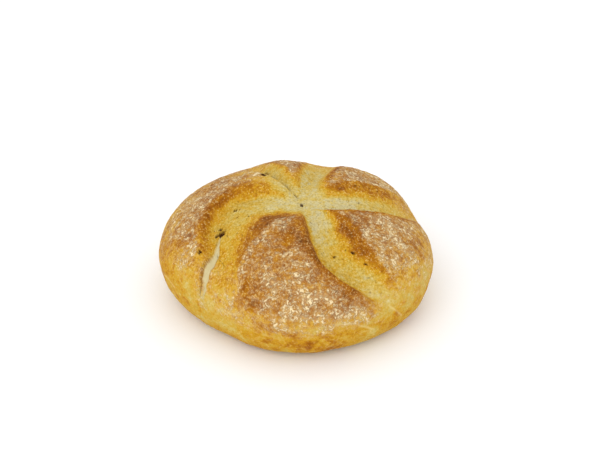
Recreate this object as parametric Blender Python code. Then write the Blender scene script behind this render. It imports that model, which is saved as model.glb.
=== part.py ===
"""A round, floured bread roll with a five-armed star pressed into its top.

Metres, +Z up. The roll stands on its flat base, the middle of the base is the origin and -Y is
the front. A place on the crust is given by two numbers: its arc, the distance from the middle of
the star measured down over the dome, and its bearing round the star, counter-clockwise from +X
as seen from above.
"""
import math
from dataclasses import dataclass

import bpy
import numpy as np

MM = 0.001
DEG = math.pi / 180.0

# The risen ball of dough: a dome above the girth, a rounded skirt below it and a flat base.
GIRTH_RADIUS = 50.9 * MM
GIRTH_HEIGHT = 16.0 * MM
CROWN_HEIGHT = 44.8 * MM
BASE_RADIUS = 37.0 * MM
DOME_POWER = 2.05
SKIRT_POWER = 2.3
PROFILE_STEPS = 400

# The star stands a little off the middle of the round outline.
STAR_PLACE = (2.4 * MM, -1.6 * MM)
OUTLINE_PLACE = (0.7 * MM, 1.1 * MM)

# How far the outline is from a circle: waves round it, share of the radius, bearing of a crest.
OUTLINE_WAVES = (
    (2, 0.022, -28.0 * DEG),
    (3, 0.013, 51.5 * DEG),
    (4, 0.004, -12.0 * DEG),
    (5, 0.015, -21.5 * DEG),
)

# The hollow in the middle, where the arms of the star meet.
STAR_DEPTH = 5.0 * MM
STAR_EDGE = 24.0 * MM
DEEPEST = 6.5 * MM

# The lobes between the arms: rounded like cushions, and rolled up at their edges.
LOBE_PUFF = 1.2 * MM
LOBE_ROUNDING = 6.0 * MM
LIP_ROLL = 0.8 * MM
LIP_ROLL_WIDTH = 7.0 * MM
RIDGE_ROLL = 0.4 * MM
RIDGE_ROLL_WIDTH = 1.8 * MM
ROLL_START = (6.0 * MM, 16.0 * MM)
LOBE_FADE = (-8.0 * MM, 6.0 * MM)

# An arm is shallow at the star and deepens on the way out.
ARM_SHALLOW = 0.3
ARM_DEEPENED = 20.0 * MM

# The mesh: columns that run out along the lips, closest together under each lip, and rings.
COLUMNS_PER_LOBE = 18
COLUMN_BUNCHING = 1.5
RINGS = 46
DOME_RINGS = 34
SKIRT_RINGS = 10


@dataclass(frozen=True)
class Arm:
    """One arm of the star: a steep wall under a lip, and a floor that climbs to the next lobe.

    lip and ridge are the lines that the arm lies between, as points of arc in mm and bearing in
    degrees. wall is the wall's width, at most wall_share of the arm's, and fades are the arcs
    between which the arm runs out.
    """

    lip: tuple[tuple[float, float], ...]
    ridge: tuple[tuple[float, float], ...]
    depth: float
    wall: float
    wall_share: float
    fades: tuple[float, float]


# In order of bearing, counter-clockwise.
ARMS = (
    Arm(
        lip=((0, -62), (14, -44), (20, -30), (31, -16), (39, -9), (51, 3), (70, 12)),
        ridge=((0, 60), (9, 45), (18, 34), (25, 29), (31, 25), (43, 23), (70, 26)),
        depth=4.3 * MM,
        wall=3.5 * MM,
        wall_share=0.4,
        fades=(34 * MM, 60 * MM),
    ),
    Arm(
        lip=((0, 38), (11, 47), (19, 52), (26, 55), (33, 58), (45, 63), (70, 67)),
        ridge=((0, 116), (9, 104), (14, 99), (19, 95), (26, 91), (33, 88), (45, 85), (70, 87)),
        depth=4.3 * MM,
        wall=7.0 * MM,
        wall_share=0.5,
        fades=(22 * MM, 54 * MM),
    ),
    Arm(
        lip=((0, 92), (10, 101), (22, 105), (31, 108), (45, 114), (70, 124)),
        ridge=((0, 118), (8, 122), (16, 128), (24, 131), (34, 134), (45, 138), (70, 146)),
        depth=3.6 * MM,
        wall=6.0 * MM,
        wall_share=0.75,
        fades=(22 * MM, 48 * MM),
    ),
    Arm(
        lip=((0, 140), (12, 151), (24, 163), (30, 176), (35, 189), (40, 201), (47, 214), (60, 220), (75, 224)),
        ridge=((0, 290), (14, 262), (18, 246), (24, 240), (32, 237.5), (44, 238.5), (60, 245), (75, 250)),
        depth=4.2 * MM,
        wall=4.0 * MM,
        wall_share=0.4,
        fades=(38 * MM, 64 * MM),
    ),
    Arm(
        lip=((0, -108), (14, -92), (28, -84.5), (38, -79), (46, -71), (53, -63), (60, -57), (70, -50)),
        ridge=((0, -48), (14, -44), (24, -39), (32, -44), (44, -46), (52, -45), (70, -38)),
        depth=4.8 * MM,
        wall=3.5 * MM,
        wall_share=0.4,
        fades=(45 * MM, 68 * MM),
    ),
)

CRUST_COLOUR = (0.56, 0.33, 0.10, 1.0)
CRUST_ROUGHNESS = 0.72


def ease(low: float, high: float, value: np.ndarray) -> np.ndarray:
    """Climb from 0 at low to 1 at high along 3t^2 - 2t^3."""
    t = np.clip((value - low) / (high - low), 0.0, 1.0)
    return t * t * (3.0 - 2.0 * t)


def curve_through(points: tuple[tuple[float, float], ...], at: np.ndarray) -> np.ndarray:
    """Read a cubic Hermite curve through (place, value) points at the places given."""
    place, value = np.array(points, float).T
    slope = np.gradient(value, place)
    i = np.clip(np.searchsorted(place, at) - 1, 0, len(place) - 2)
    span = place[i + 1] - place[i]
    rise = value[i + 1] - value[i]
    t = np.clip((at - place[i]) / span, 0.0, 1.0)
    bend = (slope[i] * span - rise) * (1.0 - t) - (slope[i + 1] * span - rise) * t
    return value[i] + t * rise + t * (1.0 - t) * bend


class Profile:
    """The roll's section from the crown to the middle of the base, read by arc."""

    def __init__(self) -> None:
        quarter = np.linspace(0.0, math.pi / 2.0, PROFILE_STEPS)
        dome_r = GIRTH_RADIUS * np.sin(quarter) ** (2.0 / DOME_POWER)
        dome_z = GIRTH_HEIGHT + (CROWN_HEIGHT - GIRTH_HEIGHT) * np.cos(quarter)
        overhang = GIRTH_RADIUS - BASE_RADIUS
        skirt_r = BASE_RADIUS + overhang * np.cos(quarter) ** (2.0 / SKIRT_POWER)
        skirt_z = GIRTH_HEIGHT * (1.0 - np.sin(quarter) ** (2.0 / SKIRT_POWER))
        self.radius = np.concatenate([dome_r, skirt_r[1:], [0.0]])
        self.height = np.concatenate([dome_z, skirt_z[1:], [0.0]])
        steps = np.hypot(np.diff(self.radius), np.diff(self.height))
        self.arc = np.concatenate([[0.0], np.cumsum(steps)])
        self.girth_arc = self.arc[PROFILE_STEPS - 1]
        self.base_arc = self.arc[-2]
        self.middle_arc = self.arc[-1]
        out = -np.gradient(self.height, self.arc)
        up = np.gradient(self.radius, self.arc)
        length = np.hypot(out, up)
        self.normal_out = out / length
        self.normal_up = up / length

    def read(self, quantity: np.ndarray, arc: np.ndarray) -> np.ndarray:
        """Read the profile's radius, height or normal at the arcs given."""
        return np.interp(arc, self.arc, quantity)


def turn_past(arm: Arm, bearing: np.ndarray, arc: np.ndarray) -> tuple[np.ndarray, np.ndarray]:
    """Turn from the arm's lip to the bearings given, and on to its ridge, from -0.5 to 0.5 turns."""
    lip = curve_through(arm.lip, arc / MM) * DEG
    ridge = curve_through(arm.ridge, arc / MM) * DEG
    half = math.pi
    return (bearing - lip + half) % (2.0 * half) - half, (ridge - lip) % (2.0 * half)


def arm_section(across: np.ndarray, wall: np.ndarray, width: np.ndarray) -> np.ndarray:
    """Share of the arm's depth: an eased drop over the wall, then a cosine rise to the ridge."""
    climb = np.clip((across - wall) / (width - wall), 0.0, 1.0)
    drop = ease(0.0, 1.0, across / wall)
    return np.where(across < wall, drop, np.cos(climb * math.pi / 2.0) ** 1.15)


def relief(profile: Profile, bearing: np.ndarray, arc: np.ndarray, radius: np.ndarray) -> np.ndarray:
    """Height of the crust above the smooth dome.

    The arms and the star's hollow are merged as 1 - product(1 - share), so that they run into
    each other without a step, and what lies between them is raised into lobes.
    """
    left_standing = np.ones_like(arc)
    nearest = np.full_like(arc, GIRTH_RADIUS)
    rolled = np.zeros_like(arc)
    ring = np.maximum(radius, 0.01 * MM)
    deepened = ARM_SHALLOW + (1.0 - ARM_SHALLOW) * ease(0.0, ARM_DEEPENED, arc)
    for arm in ARMS:
        past_lip, whole = turn_past(arm, bearing, arc)
        across = past_lip * ring
        width = whole * ring
        wall = np.minimum(arm.wall, arm.wall_share * width)
        fade = 1.0 - ease(arm.fades[0], arm.fades[1], arc)
        left_standing *= 1.0 - arm_section(across, wall, width) * fade * deepened * arm.depth / DEEPEST
        away = np.maximum(-across, across - width)
        nearest = np.minimum(nearest, np.maximum(away, 0.0))
        lip = LIP_ROLL * np.exp(np.minimum(across, 0.0) / LIP_ROLL_WIDTH)
        lip *= 1.0 - ease(0.0, 1.0, across / wall)
        edge = RIDGE_ROLL * np.exp(-(((across - width) / RIDGE_ROLL_WIDTH) ** 2))
        rolled += fade * (lip + edge) * ease(ROLL_START[0], ROLL_START[1], arc)
    left_standing *= 1.0 - (1.0 - ease(0.0, STAR_EDGE, arc)) * STAR_DEPTH / DEEPEST
    girth = profile.girth_arc
    on_top = 1.0 - ease(girth + LOBE_FADE[0], girth + LOBE_FADE[1], arc)
    puff = LOBE_PUFF * (1.0 - np.exp(-nearest / LOBE_ROUNDING))
    return (puff + rolled) * on_top - DEEPEST * (1.0 - left_standing)


def crust_point(profile: Profile, bearing: np.ndarray, arc: np.ndarray) -> np.ndarray:
    """Places on the crust, as rows of x, y and z, at the bearings and arcs given."""
    radius = profile.read(profile.radius, arc)
    outward = ease(0.0, GIRTH_RADIUS, radius)
    outline = np.zeros_like(arc)
    for waves, share, crest in OUTLINE_WAVES:
        outline += share * np.cos(waves * (bearing - crest))
    height = relief(profile, bearing, arc, radius)
    reach = radius * (1.0 + outline * outward) + profile.read(profile.normal_out, arc) * height
    middle_x = STAR_PLACE[0] + (OUTLINE_PLACE[0] - STAR_PLACE[0]) * outward
    middle_y = STAR_PLACE[1] + (OUTLINE_PLACE[1] - STAR_PLACE[1]) * outward
    x = middle_x + reach * np.cos(bearing)
    y = middle_y + reach * np.sin(bearing)
    z = profile.read(profile.height, arc) + profile.read(profile.normal_up, arc) * height
    return np.stack([x, y, np.where(arc >= profile.base_arc, 0.0, z)], axis=-1)


def ring_arcs(profile: Profile) -> np.ndarray:
    """Arc of each ring from the top pole to the bottom pole, closest together on the dome."""
    base_rings = RINGS - DOME_RINGS - SKIRT_RINGS
    dome = np.linspace(0.0, profile.girth_arc, DOME_RINGS + 1)
    skirt = np.linspace(profile.girth_arc, profile.base_arc, SKIRT_RINGS + 1)
    base = np.linspace(profile.base_arc, profile.middle_arc, base_rings + 1)
    return np.concatenate([dome, skirt[1:], base[1:]])


def column_bearing(column: np.ndarray, arc: np.ndarray) -> np.ndarray:
    """Bearing of a column at an arc: between two lips it keeps its share of the gap."""
    lips = np.stack([curve_through(arm.lip, arc / MM) for arm in ARMS]) * DEG
    gaps = (np.roll(lips, -1, axis=0) - lips) % (2.0 * math.pi)
    lobe, step = np.divmod(column, COLUMNS_PER_LOBE)
    share = (step / COLUMNS_PER_LOBE) ** COLUMN_BUNCHING
    here = np.arange(len(column))
    return lips[lobe, here] + gaps[lobe, here] * share


def clear_scene() -> None:
    """Remove whatever the open scene holds."""
    for item in list(bpy.data.objects):
        bpy.data.objects.remove(item, do_unlink=True)


def crust_material() -> bpy.types.Material:
    """Baked crust: golden brown and dull."""
    material = bpy.data.materials.new("crust")
    material.use_nodes = True
    shader = material.node_tree.nodes["Principled BSDF"]
    shader.inputs["Base Color"].default_value = CRUST_COLOUR
    shader.inputs["Roughness"].default_value = CRUST_ROUGHNESS
    shader.inputs["Metallic"].default_value = 0.0
    return material


def add_roll() -> bpy.types.Object:
    """Raise a unit sphere into the roll, ring by ring."""
    columns = COLUMNS_PER_LOBE * len(ARMS)
    bpy.ops.mesh.primitive_uv_sphere_add(segments=columns, ring_count=RINGS, radius=1.0)
    roll = bpy.context.active_object
    roll.name = "bread_roll"
    roll.data.name = "bread_roll"
    places = np.empty(len(roll.data.vertices) * 3)
    roll.data.vertices.foreach_get("co", places)
    x, y, z = places.reshape(-1, 3).T
    column = np.rint(np.arctan2(y, x) / (2.0 * math.pi) * columns).astype(int) % columns
    ring = np.rint(np.arccos(np.clip(z, -1.0, 1.0)) / math.pi * RINGS).astype(int)
    profile = Profile()
    arc = ring_arcs(profile)[ring]
    points = crust_point(profile, column_bearing(column, arc), arc)
    roll.data.vertices.foreach_set("co", points.ravel())
    roll.data.update()
    roll.data.shade_smooth()
    return roll


def main() -> None:
    """Build the roll in a collection of its own."""
    clear_scene()
    roll = add_roll()
    roll.data.materials.append(crust_material())
    collection = bpy.data.collections.new("bread_roll")
    bpy.context.scene.collection.children.link(collection)
    for owner in list(roll.users_collection):
        owner.objects.unlink(roll)
    collection.objects.link(roll)


main()
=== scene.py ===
"""The looks of a floured bread roll with a swirled star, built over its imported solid.

The crust is one closed surface. Each of its points has an arc, its distance from the middle of
the star measured down over the dome, and a bearing round the star, counter-clockwise from +X
seen from above. Relief and colour are worked out from those two as whole numpy arrays.
"""
import logging
import math
from dataclasses import dataclass, field
from enum import Enum

import bpy
import numpy as np
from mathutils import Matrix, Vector


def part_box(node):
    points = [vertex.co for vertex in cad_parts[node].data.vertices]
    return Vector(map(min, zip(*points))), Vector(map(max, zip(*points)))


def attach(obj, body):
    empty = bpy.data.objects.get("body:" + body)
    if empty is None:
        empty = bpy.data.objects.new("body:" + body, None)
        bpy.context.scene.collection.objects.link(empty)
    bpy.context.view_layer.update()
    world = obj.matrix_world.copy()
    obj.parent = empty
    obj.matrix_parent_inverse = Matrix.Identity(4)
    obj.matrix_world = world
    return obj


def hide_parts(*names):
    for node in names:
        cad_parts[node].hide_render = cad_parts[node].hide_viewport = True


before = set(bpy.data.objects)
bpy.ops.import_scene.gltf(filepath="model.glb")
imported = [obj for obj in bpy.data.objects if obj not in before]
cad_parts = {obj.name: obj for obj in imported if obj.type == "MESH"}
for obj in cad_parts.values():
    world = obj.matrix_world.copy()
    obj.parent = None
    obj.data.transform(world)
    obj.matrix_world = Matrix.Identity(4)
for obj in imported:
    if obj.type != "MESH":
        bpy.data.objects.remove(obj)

log = logging.getLogger("bread_roll")

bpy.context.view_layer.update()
NODE = "bread_roll"

MM = 0.001
DEG = math.pi / 180.0
TURN = 2.0 * math.pi


def ease(low: float, high: float, value: np.ndarray) -> np.ndarray:
    """Climb from 0 at low to 1 at high along 3t^2 - 2t^3.

    Args:
        low: where the climb starts.
        high: where the climb ends; below low it is a fall.
        value: where to read it.

    Returns:
        The height of the climb at each value.
    """
    t = np.clip((value - low) / (high - low), 0.0, 1.0)
    return t * t * (3.0 - 2.0 * t)


def bump(middle: float, width: float, value: np.ndarray) -> np.ndarray:
    """A bell, exp(-((value - middle) / width)^2)."""
    return np.exp(-(((value - middle) / width) ** 2))


def between(start: np.ndarray, end: np.ndarray, share: np.ndarray) -> np.ndarray:
    """Go from start to end by share."""
    return start * (1.0 - share) + end * share


def curve_through(points: tuple[tuple[float, float], ...], at: np.ndarray) -> np.ndarray:
    """Read a cubic Hermite curve through (place, value) points.

    Between two points the value is the straight line plus t (1 - t) times the bend that makes
    the curve leave each point at the slope of its neighbours.

    Args:
        points: the places and values that the curve goes through, in order.
        at: the places to read.

    Returns:
        The curve's values, held at the ends.
    """
    place, value = np.array(points, float).T
    slope = np.gradient(value, place)
    i = np.clip(np.searchsorted(place, at) - 1, 0, len(place) - 2)
    span = place[i + 1] - place[i]
    rise = value[i + 1] - value[i]
    t = np.clip((at - place[i]) / span, 0.0, 1.0)
    bend = (slope[i] * span - rise) * (1.0 - t) - (slope[i + 1] * span - rise) * t
    return value[i] + t * rise + t * (1.0 - t) * bend


def turn_from(bearing: np.ndarray, start: np.ndarray) -> np.ndarray:
    """Turn from a start bearing to another, between half a turn back and half a turn on."""
    return (bearing - start + math.pi) % TURN - math.pi


class Coat(Enum):
    """What is stored at each point of the crust for its finish."""

    BAKE = "bake"
    FLOUR = "flour"
    ARM = "arm"
    SIDE = "side"
    FOLD = "fold"
    TORN = "torn"
    # Where shade is painted dark: in the holes, pores, the tear's thin crack and fold, and the creases.
    PAINTED_SHADE = "pit"
    STRAND = "strand"


class DoughNoise:
    """Gradient noise: a random slope at each corner of a cubic lattice, blended by eased weights."""

    SIDE = 32

    def __init__(self, seed: int) -> None:
        """Draw the slopes from a seeded generator."""
        slopes = np.random.default_rng(seed).normal(size=(self.SIDE, self.SIDE, self.SIDE, 3))
        self.slopes = slopes / np.linalg.norm(slopes, axis=-1, keepdims=True)

    def read(self, points: np.ndarray, size: float) -> np.ndarray:
        """Noise of about -1 to 1 at the points, in lumps of the size given.

        Args:
            points: rows of x, y and z.
            size: side of a lattice cell.

        Returns:
            One value a point: the sum over a cell's corners of slope . offset x eased weight.
        """
        place = points / size + 0.37
        cell = np.floor(place).astype(int)
        part = place - cell
        weight = part**3 * (part * (part * 6.0 - 15.0) + 10.0)
        total = np.zeros(len(points))
        for corner in np.ndindex(2, 2, 2):
            i, j, k = ((cell + corner) % self.SIDE).T
            share = np.where(corner, weight, 1.0 - weight).prod(axis=1)
            total += share * (self.slopes[i, j, k] * (part - corner)).sum(axis=1)
        return total * 1.8

    def layered(self, points: np.ndarray, size: float, layers: int, fall: float = 0.5) -> np.ndarray:
        """Several layers of noise, each half the size and fall times as strong as the last."""
        total = np.zeros(len(points))
        for layer in range(layers):
            total += self.read(points, size / 2**layer) * fall**layer
        return total


class SpotNoise:
    """One random spot in each cell of a cubic lattice."""

    SIDE = 32

    def __init__(self, seed: int) -> None:
        """Draw each cell's spot and its rank from a seeded generator."""
        rng = np.random.default_rng(seed)
        self.spots = rng.random((self.SIDE, self.SIDE, self.SIDE, 3))
        self.ranks = rng.random((self.SIDE, self.SIDE, self.SIDE))

    def nearest(self, points: np.ndarray, size: float) -> tuple[np.ndarray, np.ndarray]:
        """Find the nearest spot to each point.

        Args:
            points: rows of x, y and z.
            size: side of a lattice cell.

        Returns:
            Distance to the nearest spot, and that spot's rank from 0 to 1.
        """
        place = points / size
        cell = np.floor(place).astype(int)
        best = np.full(len(points), np.inf)
        rank = np.zeros(len(points))
        for step in np.ndindex(3, 3, 3):
            there = cell + step - 1
            i, j, k = (there % self.SIDE).T
            away = np.linalg.norm(there + self.spots[i, j, k] - place, axis=1)
            closer = away < best
            best = np.where(closer, away, best)
            rank = np.where(closer, self.ranks[i, j, k], rank)
        return best * size, rank


Curve = tuple[tuple[float, float], ...]


@dataclass(frozen=True)
class Arm:
    """One arm of the star: a steep wall under a lip, and a floor that climbs to the next lobe.

    lip and ridge are the lines that the arm lies between, as points of arc in mm and bearing in
    degrees. wall is the wall's width, at most wall_share of the arm's, and fades are the arcs
    between which the arm runs out. The bakes go from 0, pale dough, to 1, dark brown. The
    floor's and the slope's are by arc in mm, and slope_start, also by arc, is the share of the
    way from the wall's foot to the ridge where the brown slope starts. lip_reach is how far the
    lip's brown reaches over the lobe, lip_end is the share of the wall that it reaches down,
    foot_bake is the bake at the wall's foot and crease is how deep the groove there is and how
    dark the shade painted in it is.
    """

    lip: Curve
    ridge: Curve
    depth: float
    wall: float
    wall_share: float
    fades: tuple[float, float]
    floor_bake: Curve
    slope_start: Curve
    slope_bake: Curve
    lip_bake: Curve
    lip_reach: float
    lip_end: float = 0.75
    foot_bake: float = 0.46
    crease: float = 0.0


# In order of bearing, counter-clockwise.
ARMS = (
    Arm(
        lip=((0, -62), (14, -44), (20, -30), (31, -16), (39, -9), (51, 3), (70, 12)),
        ridge=((0, 60), (9, 45), (18, 34), (25, 29), (31, 25), (43, 23), (70, 26)),
        depth=4.3 * MM,
        wall=3.5 * MM,
        wall_share=0.4,
        fades=(34 * MM, 60 * MM),
        floor_bake=((8, 0.04), (20, 0.06), (30, 0.18), (42, 0.30), (60, 0.40)),
        slope_start=((12, 0.74), (24, 0.66), (36, 0.64), (50, 0.70)),
        slope_bake=((10, 0.50), (16, 0.70), (26, 0.64), (38, 0.62), (52, 0.48)),
        lip_bake=((8, 0.35), (14, 0.62), (22, 0.70), (50, 0.62)),
        lip_reach=2.4 * MM,
    ),
    Arm(
        lip=((0, 38), (11, 47), (19, 52), (26, 55), (33, 58), (45, 63), (70, 67)),
        ridge=((0, 116), (9, 104), (14, 99), (19, 95), (26, 91), (33, 88), (45, 85), (70, 87)),
        depth=4.3 * MM,
        wall=7.0 * MM,
        wall_share=0.5,
        fades=(22 * MM, 54 * MM),
        floor_bake=((8, 0.10), (18, 0.14), (30, 0.16), (45, 0.30), (60, 0.40)),
        slope_start=((12, 0.80), (24, 0.82), (50, 0.82)),
        slope_bake=((10, 0.34), (16, 0.54), (21, 0.68), (28, 0.72), (52, 0.55)),
        lip_bake=((8, 0.35), (14, 0.60), (50, 0.64)),
        lip_reach=1.2 * MM,
        lip_end=0.34,
    ),
    Arm(
        lip=((0, 92), (10, 101), (22, 105), (31, 108), (45, 114), (70, 124)),
        ridge=((0, 118), (8, 122), (16, 128), (24, 131), (34, 134), (45, 138), (70, 146)),
        depth=3.6 * MM,
        wall=6.0 * MM,
        wall_share=0.75,
        fades=(22 * MM, 48 * MM),
        floor_bake=((8, 0.12), (20, 0.18), (34, 0.30), (50, 0.42)),
        slope_start=((12, 1.3), (24, 1.2), (50, 1.0)),
        slope_bake=((10, 0.20), (24, 0.35), (50, 0.45)),
        lip_bake=((8, 0.40), (20, 0.52), (30, 0.60), (50, 0.62)),
        lip_reach=0.8 * MM,
        lip_end=0.30,
        foot_bake=0.30,
        crease=0.75,
    ),
    Arm(
        lip=(
            (0, 140), (12, 151), (24, 163), (30, 176), (35, 189),
            (40, 201), (47, 214), (60, 220), (75, 224),
        ),
        ridge=(
            (0, 290), (14, 262), (18, 246), (24, 240), (32, 237.5),
            (44, 238.5), (60, 245), (75, 250),
        ),
        depth=4.2 * MM,
        wall=4.0 * MM,
        wall_share=0.4,
        fades=(38 * MM, 64 * MM),
        floor_bake=((8, 0.04), (16, 0.17), (26, 0.27), (36, 0.36), (46, 0.42), (60, 0.32)),
        slope_start=((12, 0.54), (18, 0.60), (27, 0.72), (38, 0.75), (46, 0.88), (60, 1.0)),
        slope_bake=((10, 0.62), (15, 0.82), (24, 0.80), (36, 0.68), (46, 0.58), (58, 0.44)),
        lip_bake=((8, 0.30), (14, 0.46), (20, 0.60), (27, 0.72), (36, 0.74), (42, 0.62), (50, 0.46)),
        lip_reach=3.0 * MM,
        lip_end=0.62,
    ),
    Arm(
        lip=(
            (0, -108), (14, -92), (28, -84.5), (38, -79), (46, -71), (53, -63), (60, -57), (70, -50),
        ),
        ridge=((0, -48), (14, -44), (24, -39), (32, -44), (44, -46), (52, -45), (70, -38)),
        depth=4.8 * MM,
        wall=3.5 * MM,
        wall_share=0.4,
        fades=(45 * MM, 68 * MM),
        floor_bake=((8, 0.00), (18, 0.04), (27, 0.20), (40, 0.27), (52, 0.20), (62, 0.28)),
        slope_start=((12, 0.96), (17, 0.82), (24, 0.60), (32, 0.62), (40, 0.70), (52, 0.84)),
        slope_bake=((10, 0.55), (16, 0.74), (28, 0.81), (38, 0.72), (48, 0.62), (60, 0.50)),
        lip_bake=((8, 0.45), (14, 0.72), (24, 0.80), (40, 0.84), (54, 0.74)),
        lip_reach=4.0 * MM,
    ),
)


@dataclass(frozen=True)
class Lobe:
    """One lobe's finish from the star outwards: its skin's bake and its flour, by arc in mm."""

    bake: Curve
    dust: Curve


# Each lies between the arm of the same place in the list and the next.
LOBES = (
    Lobe(
        bake=((8, 0.50), (16, 0.66), (30, 0.68), (50, 0.56), (60, 0.46)),
        dust=((10, 0.20), (18, 0.50), (28, 0.76), (40, 0.84), (50, 0.60), (60, 0.25), (66, 0.00)),
    ),
    Lobe(
        bake=((8, 0.30), (14, 0.48), (20, 0.66), (30, 0.72), (50, 0.56), (60, 0.46)),
        dust=((15, 0.00), (20, 0.50), (25, 0.85), (36, 0.80), (50, 0.48), (60, 0.10), (66, 0.00)),
    ),
    Lobe(
        bake=((8, 0.12), (14, 0.20), (20, 0.44), (26, 0.68), (42, 0.66), (52, 0.50), (62, 0.42)),
        dust=(
            (14, 0.00), (20, 0.30), (26, 0.58), (34, 0.74),
            (43, 0.76), (50, 0.42), (58, 0.16), (63, 0.00),
        ),
    ),
    Lobe(
        bake=((10, 0.70), (20, 0.75), (34, 0.72), (46, 0.70), (58, 0.70), (66, 0.56)),
        dust=(
            (12, 0.30), (20, 0.54), (32, 0.48), (42, 0.62),
            (50, 0.82), (59, 0.86), (64, 0.56), (68, 0.00),
        ),
    ),
    Lobe(
        bake=((10, 0.76), (20, 0.78), (34, 0.72), (46, 0.64), (54, 0.52), (62, 0.44)),
        dust=((17, 0.00), (22, 0.30), (28, 0.60), (42, 0.66), (52, 0.50), (60, 0.28), (66, 0.00)),
    ),
)


@dataclass(frozen=True)
class Patch:
    """A soft patch that is floured or baked more or less than its surroundings.

    arc is in mm and bearing in degrees. long is its reach in mm away from the star, and wide is
    its reach round the star.
    """

    arc: float
    bearing: float
    long: float
    wide: float
    dust: float = 0.0
    bake: float = 0.0


PATCHES = (
    Patch(27, 262, 9, 2.2, dust=-0.55, bake=0.06),
    Patch(27, 240, 6, 2.5, dust=0.15),
    Patch(40, 244, 7, 4.0, dust=-0.15, bake=-0.04),
    Patch(52, 236, 8, 9, dust=-0.60, bake=-0.10),
    Patch(57, 226, 5, 6, dust=-0.40, bake=-0.10),
    Patch(44, 209, 5, 3, dust=0.10, bake=-0.12),
    Patch(43, 223.5, 4.5, 4.5, bake=-0.24),
    Patch(55.5, 239, 2.0, 3, dust=0.35),
    Patch(56, 250, 8, 7.5, dust=-0.60, bake=0.04),
    Patch(50, 245, 5, 2.5, dust=-0.50, bake=0.08),
    Patch(53, 292, 5, 4.5, dust=-0.65, bake=0.12),
    Patch(46, 286, 5, 3, dust=-0.30, bake=0.06),
    Patch(57, 284.5, 4.5, 4.5, dust=0.60),
    Patch(66, 290, 5, 8, dust=-0.30, bake=-0.02),
    Patch(60, 313, 7, 12, bake=-0.11),
    Patch(63, 301, 3, 5, bake=0.10),
    Patch(39, 336, 5, 4, dust=0.50),
    Patch(31, 325, 6, 2.5, dust=-0.35),
    Patch(45, 330, 4, 3.5, dust=0.35),
    Patch(46, 320, 3, 3, dust=0.30),
    Patch(49.5, 337, 5, 1.6, dust=-0.50, bake=0.08),
    Patch(53, 318.5, 3, 3, dust=-0.40, bake=0.08),
    Patch(43, 179, 6, 6, dust=0.18),
    Patch(50.5, 197, 4, 4, dust=-0.25, bake=0.04),
    Patch(45.5, 201, 3.5, 2.5, dust=-0.25, bake=0.10),
    Patch(52.4, 208.5, 2.6, 2.2, dust=0.60),
    Patch(31, 139, 5, 4, dust=-0.40, bake=-0.28),
    Patch(18, 96, 5, 3, dust=-0.20, bake=0.10),
    Patch(29, 102, 7, 4, dust=0.40),
    Patch(58, 200, 6, 9, dust=-0.15, bake=-0.06),
    Patch(64, 231, 6, 15, dust=-0.30, bake=-0.18),
    Patch(61, 223, 3, 4, bake=-0.14),
    Patch(64, 258, 4, 6, bake=0.08),
    Patch(70, 272, 5, 17, bake=0.15),
    Patch(53, 195, 8, 12, bake=0.10),
    Patch(62, 180, 9, 20, bake=0.05),
    Patch(66, 304, 5, 9, bake=-0.10),
    Patch(69, 308, 3, 5, bake=0.06),
    Patch(53.5, 303.5, 2.5, 3.5, bake=-0.26),
    Patch(58.5, 312, 2.2, 4.5, bake=-0.26),
    Patch(60, 334, 6, 8, bake=-0.06),
)


@dataclass
class ArmPlace:
    """Where the crust's points lie by one arm, in metres past its lip, and how wide it is there."""

    arm: Arm
    across: np.ndarray
    wall: np.ndarray
    width: np.ndarray
    whole: np.ndarray

    def climb(self, across: np.ndarray) -> np.ndarray:
        """How far a distance past the lip is from the wall's foot, at 0, to the ridge, at 1."""
        return (across - self.wall) / (self.width - self.wall)


@dataclass
class Place:
    """Where each point of the crust lies, and its place on the smooth dome."""

    arc: np.ndarray
    bearing: np.ndarray
    radius: np.ndarray
    smooth: np.ndarray
    out: np.ndarray
    arms: list[ArmPlace]


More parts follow.
